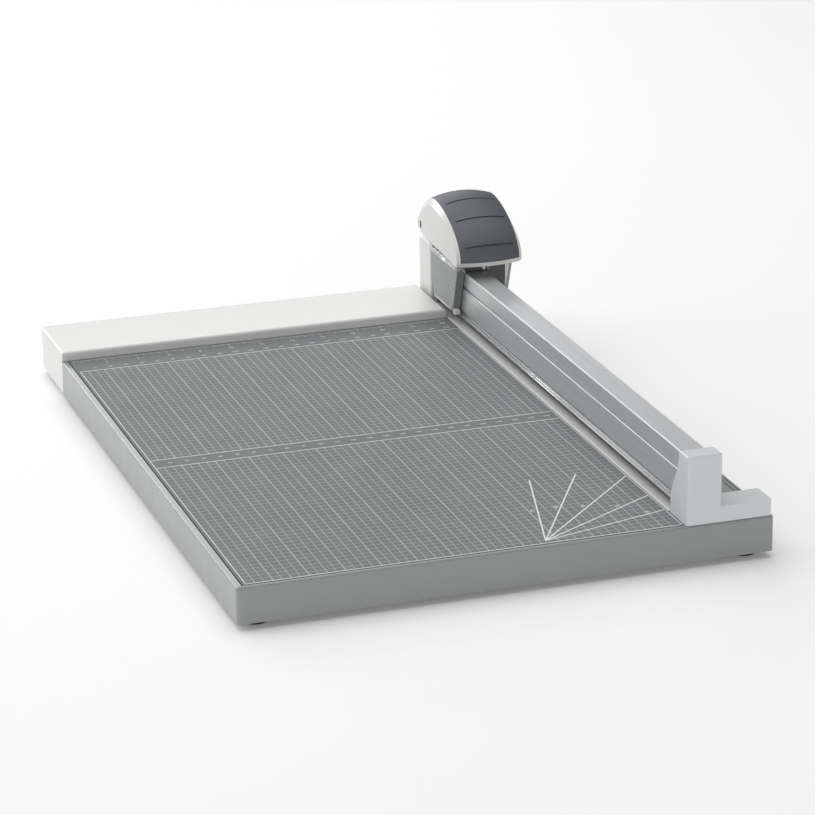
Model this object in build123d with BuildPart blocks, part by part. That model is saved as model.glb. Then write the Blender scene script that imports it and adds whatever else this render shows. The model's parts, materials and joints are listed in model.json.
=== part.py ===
"""Rotary paper trimmer: a flat bed with a paper stop, and a cutting head that slides on a rail.

Origin at the centre of the footprint, on the table. +X runs right along the front, +Y to the back,
+Z up. Millimetres.
"""
import os
from build123d import *

# ---- driving dimensions -------------------------------------------------------------------------
# bed
BED_W, BED_D = 305.0, 452.0          # overall footprint
FOOT_H = 3.5                         # the rubber feet lift the base by this much
BED_Z = 24.4                         # working surface of the bed
HALF_W, HALF_D = BED_W / 2, BED_D / 2
STEEL = 1.2                          # sheet thickness of the tray
MAT_T = 1.2                          # printed mat
MAT_LEFT, MAT_RIGHT = -148.4, 100.1
MAT_FRONT = -222.9
MAT_GAP = 0.8                        # open joint between the mat and the tray's rim
RIM_R = 2.0                          # rounding of the tray's rim
STRIP_LEFT, STRIP_RIGHT = MAT_RIGHT + 0.5, 108.2   # sides of the cutting strip
STRIP_HALF_L = 200.0
STRIP_T = 1.5
STRIP_PLAY = 0.1                     # room on each side of the strip in its groove
GAP = 0.3                            # room between pieces that move past each other

# paper stop and rail ends
STOP_Y = 168.5                       # paper rests against this face
STOP_TOP = 30.2
STOP_RIGHT = 99.5
SHELL_T = 2.6                        # wall of the moulded pieces
BLOCK_LEFT, BLOCK_RIGHT = 101.0, 121.5
BLOCK_TOP = 64.0
STEP_RIGHT, STEP_TOP = 151.0, 33.5
STEP_D = 18.8
BLOCK_HEEL = 24.2                    # depth of an end block on the bed
BLOCK_CREST = 13.0                   # depth of the front block at its top; the rear one is upright

# rail
RAIL_X = 112.85
RAIL_W = 14.7
RAIL_BOTTOM, RAIL_TOP = 32.7, 59.9
RAIL_HALF_L = 219.0
GROOVE_Z, GROOVE_H, GROOVE_DEEP = 49.5, 2.0, 1.5
RAIL_ROUND, LIP_CHAMFER = 0.8, 0.45  # the rail's corners, and the lower lip of each groove
CHANNEL_W, CHANNEL_TOP = 7.5, 44.2   # open channel for the clamp strip's guide
RAIL_WALL, CHAMBER_Z, CHAMBER_H = 1.7, 55.2, 6.0   # closed chamber below the top

# clamp strip
CLAMP_BOTTOM = 28.7
CLAMP_HALF_L = 206.5
LEDGE_HALF_L = 200.0
PRESS = 3.9                          # the head and the clamp go down by this much

# cutting head
HEAD_X = 117.3
COVER_W, HEAD_W = 39.2, 43.5
CROWN = 3.5                          # the cover's middle stands proud of its edges
HEAD_WALL = 2.6
BLADE_X, BLADE_Y, BLADE_R = 102.85, 173.0, 14.0
BLADE_Z = BED_Z + GAP + PRESS + BLADE_R
ROLLER_R = 4.5
ROLLER_YS = (164.0, 186.0)
POST_YS = (153.5, 196.5)
POST_TOP = 80.0
BRIDGE_TOP = 67.5
FRAME_BOTTOM = 76.5
FIT = 0.05                           # running fit of pins and axles

os.makedirs("parts", exist_ok=True)


def save(part, name):
    """Label one finished piece and write it to its own STEP file."""
    part.label = name
    export_step(part, f"parts/{name}.step")


def block(x0, x1, y0, y1, z0, z1, mode=Mode.ADD):
    """A box given by its six faces."""
    centre = ((x0 + x1) / 2, (y0 + y1) / 2, (z0 + z1) / 2)
    with Locations(centre):
        Box(x1 - x0, y1 - y0, z1 - z0, mode=mode)


def rod(x, y, z0, z1, radius, mode=Mode.ADD):
    """An upright cylinder from z0 to z1."""
    with Locations((x, y, (z0 + z1) / 2)):
        Cylinder(radius, z1 - z0, mode=mode)


def cross_rod(x0, x1, y, z, radius, mode=Mode.ADD):
    """A cylinder along X from x0 to x1."""
    with Locations(Location(((x0 + x1) / 2, y, z), (0, 90, 0))):
        Cylinder(radius, x1 - x0, mode=mode)


def screw(x, y, z_head, length, shank, head, head_h, up=True):
    """A pan-head screw standing along Z, with a hexagon socket in its head."""
    way = 1 if up else -1
    rod(x, y, min(z_head, z_head + way * length), max(z_head, z_head + way * length), shank)
    rod(x, y, min(z_head, z_head - way * head_h), max(z_head, z_head - way * head_h), head)
    socket = Plane((x, y, z_head - way * head_h), z_dir=(0, 0, way))
    with BuildSketch(socket) as hexagon:
        RegularPolygon(head * 0.5, 6)
    extrude(hexagon.sketch, amount=head_h * 0.6, mode=Mode.SUBTRACT)


# ---- base ---------------------------------------------------------------------------------------
TONGUE_X, TONGUE_BACK, TONGUE_TOP = 149.0, 222.0, 21.2
TRAY_BACK = STOP_Y - GAP
PLATE_T = 1.2
TAB_INSET = 2.0                      # the plate's rear tab stays this far inside the tongue
POST_XYS = [(x, y) for x in (-120.0, 0.0, 120.0) for y in (-150.0, 100.0)]
STOP_SCREW_XYS = [(x, 197.0) for x in (-130.0, -45.0, 40.0, 137.0)]
BLOCK_SCREW_XYS = [(x, y) for y in (-216.0, 215.0) for x in (127.5, 143.5)]
RAIL_SCREW_Y = 213.0
RAIL_SCREW_XYS = [(RAIL_X, -RAIL_SCREW_Y), (RAIL_X, RAIL_SCREW_Y)]
FEET_XYS = [(x, y) for y in (-213.0, 213.0) for x in (-139.5, 139.5)]
CORNER_R = 2.5                       # upright corners of the base
STAND_OFF_R = 4.0                    # posts and bosses that take a screw
PLATE_SCREW_R, SMALL_SCREW_R, RAIL_SCREW_R = 1.2, 1.25, 1.65
SMALL_HEAD, RAIL_HEAD = (3.2, 1.8), (3.6, 2.4)   # radius and height of the screws' heads
PILOT_PLAY = 0.05                    # the pilot holes are wider than their screws by this much
SHANK_HOLE_R = 2.2                   # clearance for screws that go up through the tray
DRIP_XS, DRIP_W, DRIP_DEEP = (146.4, 149.0), 1.0, 0.7
roof = BED_Z - MAT_T - STEEL         # underside of the tray's top sheet

with BuildPart() as base_tray:
    block(-HALF_W, HALF_W, -HALF_D, TRAY_BACK, FOOT_H, BED_Z)
    front_corners = base_tray.edges().filter_by(Axis.Z).group_by(Axis.Y)[0]
    fillet(front_corners, CORNER_R)
    rim = base_tray.faces().sort_by(Axis.Z)[-1].edges().sort_by(Axis.Y)[:-1]
    fillet(rim, RIM_R)
    block(-TONGUE_X, TONGUE_X, TRAY_BACK, TONGUE_BACK, FOOT_H, TONGUE_TOP)
    block(-HALF_W + STEEL, HALF_W - STEEL, -HALF_D + STEEL, TRAY_BACK - STEEL, FOOT_H, roof,
          mode=Mode.SUBTRACT)
    block(-TONGUE_X + STEEL, TONGUE_X - STEEL, TRAY_BACK - 2 * STEEL, TONGUE_BACK - STEEL,
          FOOT_H, TONGUE_TOP - STEEL, mode=Mode.SUBTRACT)
    # recess for the mat, groove for the cutting strip, two drip grooves along the right edge
    groove_left, groove_right = STRIP_LEFT - STRIP_PLAY, STRIP_RIGHT + STRIP_PLAY
    block(MAT_LEFT - MAT_GAP, groove_left, MAT_FRONT - MAT_GAP, TRAY_BACK, BED_Z - MAT_T, BED_Z,
          mode=Mode.SUBTRACT)
    block(groove_left, groove_right, -HALF_D + BLOCK_HEEL - 1, TRAY_BACK, BED_Z - STRIP_T, BED_Z,
          mode=Mode.SUBTRACT)
    for x in DRIP_XS:
        block(x, x + DRIP_W, -HALF_D + 3, TRAY_BACK, BED_Z - DRIP_DEEP, BED_Z, mode=Mode.SUBTRACT)
    # stand-off posts for the bottom plate, with pilot holes
    for x, y in POST_XYS:
        rod(x, y, FOOT_H + PLATE_T, roof, STAND_OFF_R)
        rod(x, y, FOOT_H + PLATE_T, roof - 4, PLATE_SCREW_R, mode=Mode.SUBTRACT)
    for x, y in BLOCK_SCREW_XYS + RAIL_SCREW_XYS + STOP_SCREW_XYS:
        rod(x, y, roof - 3, BED_Z, SHANK_HOLE_R, mode=Mode.SUBTRACT)
save(base_tray.part, "base_tray")

FOOT_R, FOOT_STEM_R, FOOT_BARB_R, FOOT_BARB_H = 8.0, 2.45, 3.4, 2.4
with BuildPart() as bottom_plate:
    plate_x = HALF_W - STEEL - GAP
    block(-plate_x, plate_x, -HALF_D + STEEL + GAP, TRAY_BACK - STEEL - GAP, FOOT_H, FOOT_H + PLATE_T)
    tab_x, tab_back = TONGUE_X - TAB_INSET, TONGUE_BACK - TAB_INSET
    block(-tab_x, tab_x, 0, tab_back, FOOT_H, FOOT_H + PLATE_T)
    for x, y in POST_XYS:
        rod(x, y, FOOT_H, FOOT_H + PLATE_T, 1.7, mode=Mode.SUBTRACT)
    for x, y in FEET_XYS:
        rod(x, y, FOOT_H, FOOT_H + PLATE_T, FOOT_STEM_R + FIT, mode=Mode.SUBTRACT)
save(bottom_plate.part, "bottom_plate")

with BuildPart() as bottom_screws:
    for x, y in POST_XYS:
        screw(x, y, FOOT_H, 10.0, PLATE_SCREW_R, 3.0, 1.6)
save(bottom_screws.part, "bottom_screws")

FOOT_NAMES = ("foot_front_left", "foot_front_right", "foot_rear_left", "foot_rear_right")
for name, (x, y) in zip(FOOT_NAMES, FEET_XYS):
    with BuildPart() as foot:
        rod(x, y, 0, FOOT_H, FOOT_R)
        chamfer(foot.edges().group_by(Axis.Z)[0], 0.8)
        rod(x, y, FOOT_H, FOOT_H + PLATE_T, FOOT_STEM_R)
        with Locations((x, y, FOOT_H + PLATE_T + FOOT_BARB_H / 2)):
            Cone(FOOT_BARB_R, 2.2, FOOT_BARB_H)
    save(foot.part, name)

with BuildPart() as cutting_mat:
    block(MAT_LEFT, MAT_RIGHT, MAT_FRONT, TRAY_BACK, BED_Z - MAT_T, BED_Z)
save(cutting_mat.part, "cutting_mat")

with BuildPart() as cutting_strip:
    block(STRIP_LEFT, STRIP_RIGHT, -STRIP_HALF_L, STRIP_HALF_L, BED_Z - STRIP_T, BED_Z)
save(cutting_strip.part, "cutting_strip")


# ---- paper stop and rail ends -------------------------------------------------------------------
RELIEF = 0.4                         # setback of the stop's front below the bed's surface
BLOCK_BACK = HALF_D - 0.5            # outer face of each end block
BLOCK_EDGE_R, BLOCK_TOP_R = 1.6, 1.2
BLOCK_PILOT = 7.5                    # depth of the screw holes in the end blocks
BEND_TOP, BEND_BOTTOM = 46.0, 29.0   # heights that shape the front block's S-shaped face


def end_profile(side, crest_depth):
    """Side view of a rail end block, crest_depth deep at its top; side is -1 front, 1 back."""
    outer = side * BLOCK_BACK
    crest = side * (HALF_D - crest_depth)
    heel = side * (HALF_D - BLOCK_HEEL)
    with BuildLine() as outline:
        Polyline((heel, BED_Z), (outer, BED_Z), (outer, BLOCK_TOP), (crest, BLOCK_TOP))
        if crest == heel:
            Line((crest, BLOCK_TOP), (heel, BED_Z))
        else:
            Bezier((crest, BLOCK_TOP), (crest, BEND_TOP), (heel, BEND_TOP), (heel, BEND_BOTTOM))
            Line((heel, BEND_BOTTOM), (heel, BED_Z))
    make_face(outline.edges())


def add_end_block(body, side, crest_depth, screw_xys):
    """Build an end block in body: the upright, the low step beside it and a pocket for the rail."""
    with BuildSketch(Plane.YZ.offset(BLOCK_LEFT)) as side_view:
        end_profile(side, crest_depth)
    extrude(side_view.sketch, amount=BLOCK_RIGHT - BLOCK_LEFT)
    step_ys = sorted((side * BLOCK_BACK, side * (BLOCK_BACK - STEP_D)))
    block(BLOCK_RIGHT, STEP_RIGHT, *step_ys, BED_Z, STEP_TOP)
    middle_z = (BED_Z + BLOCK_TOP) / 2 - 0.5
    uprights = body.edges().filter_by(Axis.Z)
    fillet(uprights.filter_by(lambda e: e.center().Z > middle_z or e.center().X > STEP_RIGHT - 1),
           BLOCK_EDGE_R)
    fillet(body.faces().sort_by(Axis.Z)[-1].edges(), BLOCK_TOP_R)
    half = RAIL_W / 2 + 0.1
    pocket_ys = sorted((side * (RAIL_HALF_L + 0.5), side * (RAIL_HALF_L - 24.0)))
    block(RAIL_X - half, RAIL_X + half, *pocket_ys, BED_Z, RAIL_TOP + 0.1, mode=Mode.SUBTRACT)
    for x, y in screw_xys:
        rod(x, y, BED_Z, BED_Z + BLOCK_PILOT, SMALL_SCREW_R + PILOT_PLAY, mode=Mode.SUBTRACT)


with BuildPart() as front_block:
    add_end_block(front_block, -1, BLOCK_CREST, BLOCK_SCREW_XYS[:2])
save(front_block.part, "front_block")

with BuildPart() as rear_block:
    add_end_block(rear_block, 1, BLOCK_HEEL, BLOCK_SCREW_XYS[2:])
save(rear_block.part, "rear_block")

with BuildPart() as back_stop:
    block(-HALF_W, STOP_RIGHT, STOP_Y, HALF_D, FOOT_H, STOP_TOP)
    left_end = back_stop.edges().filter_by(Axis.Z).group_by(Axis.X)[0]
    fillet(left_end.sort_by(Axis.Y)[-1:], CORNER_R)
    fillet(back_stop.faces().sort_by(Axis.Z)[-1].edges(), 1.6)
    block(STOP_RIGHT, HALF_W, STOP_Y, HALF_D, FOOT_H, BED_Z)
    # hollow from below: the tray's tongue sits inside
    inner = HALF_W - SHELL_T
    floor = BED_Z - 2.9
    block(-inner, inner, STOP_Y, HALF_D - SHELL_T, FOOT_H, floor, mode=Mode.SUBTRACT)
    block(-inner, STOP_RIGHT - SHELL_T, STOP_Y + SHELL_T, HALF_D - SHELL_T, floor,
          STOP_TOP - SHELL_T, mode=Mode.SUBTRACT)
    # relief below the ruled face, so that the sheet's edge meets only the face
    block(-HALF_W, HALF_W, STOP_Y, STOP_Y + RELIEF, FOOT_H, BED_Z + GAP, mode=Mode.SUBTRACT)
    block(groove_left, groove_right, STOP_Y, STRIP_HALF_L + GAP, BED_Z - STRIP_T, BED_Z,
          mode=Mode.SUBTRACT)
    for x, y in STOP_SCREW_XYS[:-1]:
        rod(x, y, floor, STOP_TOP - SHELL_T, STAND_OFF_R)
        rod(x, y, floor, STOP_TOP - SHELL_T, SMALL_SCREW_R + PILOT_PLAY, mode=Mode.SUBTRACT)
    wide_x, wide_y = STOP_SCREW_XYS[-1]
    rod(wide_x, wide_y, floor, BED_Z - 0.8, SMALL_SCREW_R + PILOT_PLAY, mode=Mode.SUBTRACT)
    for x, y in BLOCK_SCREW_XYS[2:] + RAIL_SCREW_XYS[1:]:
        rod(x, y, floor, BED_Z, SHANK_HOLE_R, mode=Mode.SUBTRACT)
save(back_stop.part, "back_stop")

with BuildPart() as stop_screws:
    for x, y in STOP_SCREW_XYS:
        screw(x, y, TONGUE_TOP - STEEL, 3.4, SMALL_SCREW_R, *SMALL_HEAD)
save(stop_screws.part, "stop_screws")

with BuildPart() as block_screws:
    for x, y in BLOCK_SCREW_XYS[:2]:
        screw(x, y, roof, 8.0, SMALL_SCREW_R, *SMALL_HEAD)
    for x, y in BLOCK_SCREW_XYS[2:]:
        screw(x, y, TONGUE_TOP - STEEL, 11.0, SMALL_SCREW_R, *SMALL_HEAD)
save(block_screws.part, "block_screws")

# ---- rail ---------------------------------------------------------------------------------------
RAIL_LEFT, RAIL_RIGHT = RAIL_X - RAIL_W / 2, RAIL_X + RAIL_W / 2
lip_cut = LIP_CHAMFER * 2 ** 0.5
with BuildPart() as rail:
    with BuildSketch(Plane.XZ.offset(-RAIL_HALF_L)) as rail_section:
        with Locations((RAIL_X, (RAIL_BOTTOM + RAIL_TOP) / 2)):
            RectangleRounded(RAIL_W, RAIL_TOP - RAIL_BOTTOM, RAIL_ROUND)
        with Locations((RAIL_X, CHAMBER_Z)):
            RectangleRounded(RAIL_W - 2 * RAIL_WALL, CHAMBER_H, 0.6, mode=Mode.SUBTRACT)
        with Locations((RAIL_X, (RAIL_BOTTOM + CHANNEL_TOP) / 2 - 1)):
            Rectangle(CHANNEL_W, CHANNEL_TOP - RAIL_BOTTOM + 2, mode=Mode.SUBTRACT)
        for edge in (RAIL_LEFT, RAIL_RIGHT):
            with Locations((edge, GROOVE_Z)):
                Rectangle(2 * GROOVE_DEEP, GROOVE_H, mode=Mode.SUBTRACT)
            with Locations((edge, GROOVE_Z - GROOVE_H / 2)):
                Rectangle(lip_cut, lip_cut, rotation=45, mode=Mode.SUBTRACT)
    extrude(amount=2 * RAIL_HALF_L)
save(rail.part, "rail")

SUPPORT_IN = CLAMP_HALF_L + 1.0
for name, side in (("rail_support_front", -1), ("rail_support_rear", 1)):
    with BuildPart() as rail_support:
        y0, y1 = sorted((side * SUPPORT_IN, side * RAIL_HALF_L))
        block(RAIL_LEFT + 0.2, RAIL_RIGHT - 0.2, y0, y1, BED_Z, RAIL_BOTTOM)
        block(RAIL_X - CHANNEL_W / 2 + 0.05, RAIL_X + CHANNEL_W / 2 - 0.05, y0, y1, RAIL_BOTTOM,
              CHANNEL_TOP - 0.2)
        rod(RAIL_X, side * RAIL_SCREW_Y, BED_Z, BED_Z + 15, RAIL_SCREW_R + PILOT_PLAY, mode=Mode.SUBTRACT)
    save(rail_support.part, name)

with BuildPart() as rail_screws:
    screw(*RAIL_SCREW_XYS[0], roof, 16.0, RAIL_SCREW_R, *RAIL_HEAD)
    screw(*RAIL_SCREW_XYS[1], TONGUE_TOP - STEEL, 18.0, RAIL_SCREW_R, *RAIL_HEAD)
save(rail_screws.part, "rail_screws")


# ---- springs ------------------------------------------------------------------------------------
def spring(x, y, z0, z1, radius, wire, turns):
    """A compression spring standing between z0 and z1; radius is to the wire's centre."""
    height = z1 - z0 - wire
    with BuildLine() as coil:
        Helix(height / turns, height, radius, center=(x, y, z0 + wire / 2))
    with BuildSketch(Plane(coil.line @ 0, z_dir=coil.line % 0)) as section:
        Circle(wire / 2)
    sweep(section.sketch, path=coil.line, is_frenet=True)


# ---- clamp strip --------------------------------------------------------------------------------
SEAT_YS = (-202.0, 202.0)
SEAT_R, SEAT_TOP = 2.4, 40.5
PAD_TOP, FOOT_TOP = 29.7, 32.3
CLAMP_STEPS = ((0.9, 31.8), (1.7, 30.7))   # reach beyond the rail's left side, and top, of each step
with BuildPart() as clamp_strip:
    block(RAIL_LEFT + GAP, RAIL_RIGHT - GAP, -CLAMP_HALF_L, CLAMP_HALF_L, PAD_TOP, FOOT_TOP)
    block(RAIL_RIGHT - GAP, RAIL_RIGHT + 4.3, -LEDGE_HALF_L, LEDGE_HALF_L, PAD_TOP, FOOT_TOP)
    for reach, step_top in CLAMP_STEPS:
        block(RAIL_LEFT - reach, RAIL_LEFT + GAP, -LEDGE_HALF_L, LEDGE_HALF_L, PAD_TOP, step_top)
    block(RAIL_X - CHANNEL_W / 2 + GAP, RAIL_X + CHANNEL_W / 2 - GAP, -CLAMP_HALF_L, CLAMP_HALF_L,
          FOOT_TOP, 42.6)
    for y in SEAT_YS:
        rod(RAIL_X, y, PAD_TOP, SEAT_TOP, SEAT_R, mode=Mode.SUBTRACT)
save(clamp_strip.part, "clamp_strip")

with BuildPart() as clamp_pad:
    block(RAIL_LEFT + 0.8, RAIL_RIGHT - 0.8, -CLAMP_HALF_L, CLAMP_HALF_L, CLAMP_BOTTOM, PAD_TOP)
    for y in SEAT_YS:
        rod(RAIL_X, y, CLAMP_BOTTOM, PAD_TOP, SEAT_R, mode=Mode.SUBTRACT)
save(clamp_pad.part, "clamp_pad")

for name, y in zip(("clamp_spring_front", "clamp_spring_rear"), SEAT_YS):
    with BuildPart() as clamp_spring:
        spring(RAIL_X, y, BED_Z, SEAT_TOP, 1.75, 0.5, 8)
    save(clamp_spring.part, name)

# ---- carriage -----------------------------------------------------------------------------------
CARRIAGE_FRONT, CARRIAGE_BACK = 149.0, 201.0
BRIDGE_LEFT, BRIDGE_BOTTOM = RAIL_LEFT - 0.1, RAIL_TOP + 0.6
SKIRT_LEFT, SKIRT_RIGHT = RAIL_RIGHT + 0.4, 133.5
SKIRT_BOTTOM = 43.5
LEG_LEFT = RAIL_LEFT - 1.5
LEG_YS = (158.0, 190.0)
SLIDE_Z = (GROOVE_Z - GROOVE_H / 2 + 0.35, GROOVE_Z + GROOVE_H / 2 - 0.35)
AXLE_Z = RAIL_TOP + FIT + ROLLER_R
AXLE_R, AXLE_ENDS = 1.5, (RAIL_LEFT + 0.6, RAIL_RIGHT - 0.6)
with BuildPart() as carriage:
    block(BRIDGE_LEFT, SKIRT_RIGHT, CARRIAGE_FRONT, CARRIAGE_BACK, BRIDGE_BOTTOM, BRIDGE_TOP)
    block(SKIRT_LEFT, SKIRT_RIGHT, CARRIAGE_FRONT, CARRIAGE_BACK, SKIRT_BOTTOM, BRIDGE_TOP)
    fillet(carriage.edges().filter_by(Axis.Z).group_by(Axis.X)[-1], 1.5)
    block(LEG_LEFT, RAIL_LEFT - 0.35, *LEG_YS, GROOVE_Z - 2.2, BRIDGE_TOP)
    block(RAIL_LEFT - 0.35, BRIDGE_LEFT, *LEG_YS, BRIDGE_BOTTOM, BRIDGE_TOP)
    # tongues that run in the rail's grooves
    block(RAIL_LEFT - 0.35, RAIL_LEFT + GROOVE_DEEP - GAP, *LEG_YS, *SLIDE_Z)
    block(RAIL_RIGHT - GROOVE_DEEP + GAP, SKIRT_LEFT, *LEG_YS, *SLIDE_Z)
    # the skirt is open from above and below for the presser
    block(SKIRT_LEFT + 1.6, SKIRT_RIGHT - 1.6, CARRIAGE_FRONT + 1.6, CARRIAGE_BACK - 1.6,
          SKIRT_BOTTOM, BRIDGE_TOP, mode=Mode.SUBTRACT)
    for y in ROLLER_YS:
        block(RAIL_X - 4.3, RAIL_X + 4.3, y - ROLLER_R - 0.5, y + ROLLER_R + 0.5, BRIDGE_BOTTOM,
              BRIDGE_TOP, mode=Mode.SUBTRACT)
        cross_rod(*AXLE_ENDS, y, AXLE_Z, AXLE_R + FIT, mode=Mode.SUBTRACT)
        block(*AXLE_ENDS, y - AXLE_R - FIT, y + AXLE_R + FIT, AXLE_Z, BRIDGE_TOP, mode=Mode.SUBTRACT)
    for y in POST_YS:
        rod(RAIL_X, y, BRIDGE_TOP, POST_TOP, 2.5)
        rod(RAIL_X, y, BRIDGE_TOP - 4, POST_TOP, 1.1, mode=Mode.SUBTRACT)
save(carriage.part, "carriage")

with BuildPart() as roller_axles:
    for y in ROLLER_YS:
        cross_rod(*AXLE_ENDS, y, AXLE_Z, AXLE_R)
save(roller_axles.part, "roller_axles")

for name, y in zip(("roller_front", "roller_rear"), ROLLER_YS):
    with BuildPart() as roller:
        cross_rod(RAIL_X - 4.0, RAIL_X + 4.0, y, AXLE_Z, ROLLER_R)
        chamfer(roller.edges(), 0.5)
        cross_rod(RAIL_X - 4.0, RAIL_X + 4.0, y, AXLE_Z, AXLE_R + FIT, mode=Mode.SUBTRACT)
    save(roller.part, name)

for name, y in zip(("press_spring_front", "press_spring_rear"), POST_YS):
    with BuildPart() as press_spring:
        spring(RAIL_X, y, BRIDGE_TOP, FRAME_BOTTOM, 3.5, 0.7, 4)
    save(press_spring.part, name)

with BuildPart() as post_screws:
    for y in POST_YS:
        screw(RAIL_X, y, POST_TOP, 9.0, 1.05, 4.0, 1.8, up=False)
save(post_screws.part, "post_screws")


# ---- cutting head -------------------------------------------------------------------------------
LIP_Z, NOSE_Z = 68.0, 70.9           # the shells' lip shows below the cover
TAIL_Z = 77.8                        # the head reaches furthest back at this height


def head_outline(grow, floor_t=0.0, nose_grow=None):
    """Side view of the head, grown outwards by grow everywhere except along its floor.

    floor_t lifts the floor behind the opening, for the inside of the casing. nose_grow is the
    growth at the nose, where that differs.
    """
    nose_grow = grow if nose_grow is None else nose_grow
    front, nose = (134.6 - nose_grow, LIP_Z), (133.3 - nose_grow, NOSE_Z)
    top = (183.8, 99.6 + grow)
    tail = (215.6 + grow, TAIL_Z)
    heel = (194.6, 71.2 + floor_t)
    with BuildLine() as outline:
        Line(front, nose)
        Bezier(nose, (134.0 - nose_grow, 86.0 + 0.6 * grow), (163.0, top[1]), top)
        Bezier(top, (196.0, top[1]), (214.6 + grow, 85.0 + 0.6 * grow), tail)
        Bezier(tail, (216.2 + grow, 74.5 + floor_t), (207.0, 71.9 + floor_t), heel)
        if floor_t:
            Polyline(heel, (heel[0], LIP_Z - 1), (front[0], LIP_Z - 1), front)
        else:
            Line(heel, front)
    make_face(outline.edges())


def crowned_body(grow, half_w, floor_t=0.0, mode=Mode.ADD):
    """The head's middle part, crowned across its width."""
    sections = []
    for offset, extra in ((-half_w, 0.0), (0.0, CROWN), (half_w, 0.0)):
        with BuildSketch(Plane.YZ.offset(HEAD_X + offset)) as section:
            head_outline(grow + extra, floor_t)
        sections.append(section.sketch)
    loft(sections, mode=mode)


with BuildPart() as casing_void:
    crowned_body(-HEAD_WALL, COVER_W / 2, floor_t=2.0)

with BuildPart() as cover_zone:
    with BuildSketch(Plane.YZ.offset(HEAD_X - COVER_W / 2)):
        Polygon((120, NOSE_Z), (160, NOSE_Z), (190, TAIL_Z), (230, TAIL_Z), (230, 120), (120, 120),
                align=None)
    extrude(amount=COVER_W)

# cross grooves of the grip: place on the side view and lean of each
GRIP_GROOVES = ((136.2, 79.2, 57), (152.2, 92.7, 27), (171.0, 99.3, 10), (187.5, 100.0, -14))
GRIP_W, GRIP_DEEP = 1.2, 0.9
GRIP_LEFT, GRIP_RIGHT = HEAD_X - COVER_W / 2 + 3.5, HEAD_X + COVER_W / 2 - 3.5
with BuildPart() as grip_cutter:
    for y, z, lean in GRIP_GROOVES:
        with Locations(Location(((GRIP_LEFT + GRIP_RIGHT) / 2, y, z), (lean, 0, 0))):
            Box(GRIP_RIGHT - GRIP_LEFT, GRIP_W, 12.0)
    crowned_body(-GRIP_DEEP, COVER_W / 2, mode=Mode.SUBTRACT)

with BuildPart() as top_cover:
    crowned_body(0.0, COVER_W / 2)
    add(casing_void.part, mode=Mode.SUBTRACT)
    add(cover_zone.part, mode=Mode.INTERSECT)
    add(grip_cutter.part, mode=Mode.SUBTRACT)
save(top_cover.part, "top_cover")

BOSS_YZS = ((145.5, 78.0), (183.8, 90.5), (206.5, 78.0))
BOSS_R = 2.6
BEVEL_IN, NOSE_BEVEL = 4.5, 1.5
SCREW_SINK = 1.3
SHELL_SCREW_R = 1.25
LATCH_DEEP, LATCH_YS, LATCH_ZS = 1.0, (204.0, 207.4), (74.7, 79.5)


def shell(side):
    """One side shell of the head; side is -1 for left, 1 for right."""
    edge = HEAD_X + side * COVER_W / 2
    face = HEAD_X + side * HEAD_W / 2
    crowned_body(0.0, COVER_W / 2)
    add(casing_void.part, mode=Mode.SUBTRACT)
    add(cover_zone.part, mode=Mode.SUBTRACT)
    with BuildSketch(Plane.YZ.offset(edge)) as rim_section:
        head_outline(0.0)
    with BuildSketch(Plane.YZ.offset(face)) as face_section:
        head_outline(-BEVEL_IN, nose_grow=-NOSE_BEVEL)
    loft([rim_section.sketch, face_section.sketch])
    # opening in the floor for the carriage
    block(HEAD_X - COVER_W / 2 + 0.4, HEAD_X + COVER_W / 2 - 0.4, 147.5, 204.0, 60.0, 75.0,
          mode=Mode.SUBTRACT)
    for y, z in BOSS_YZS:
        cross_rod(min(edge, HEAD_X), max(edge, HEAD_X), y, z, BOSS_R)
    split(bisect_by=Plane.YZ.offset(HEAD_X), keep=Keep.BOTTOM if side < 0 else Keep.TOP)
    for y, z in BOSS_YZS:
        cross_rod(HEAD_X - 17.5, HEAD_X + 17.5, y, z, SHELL_SCREW_R, mode=Mode.SUBTRACT)
    if side > 0:
        for y, z in BOSS_YZS:
            cross_rod(HEAD_X, face + 1, y, z, 1.6, mode=Mode.SUBTRACT)
            cross_rod(face - SCREW_SINK, face + 1, y, z, 2.9, mode=Mode.SUBTRACT)


with BuildPart() as left_shell:
    shell(-1)
    # latch recess in the tail
    latch_face = HEAD_X - HEAD_W / 2
    block(latch_face, latch_face + LATCH_DEEP, *LATCH_YS, *LATCH_ZS, mode=Mode.SUBTRACT)
save(left_shell.part, "left_shell")

with BuildPart() as right_shell:
    shell(1)
save(right_shell.part, "right_shell")

with BuildPart() as shell_screws:
    head_face = HEAD_X + HEAD_W / 2
    for y, z in BOSS_YZS:
        cross_rod(HEAD_X - 10.0, head_face - SCREW_SINK, y, z, SHELL_SCREW_R)
        cross_rod(head_face - SCREW_SINK, head_face - 0.2, y, z, 2.8)
        cross_rod(head_face - 0.8, head_face - 0.2, y, z, 1.1, mode=Mode.SUBTRACT)
save(shell_screws.part, "shell_screws")

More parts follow.
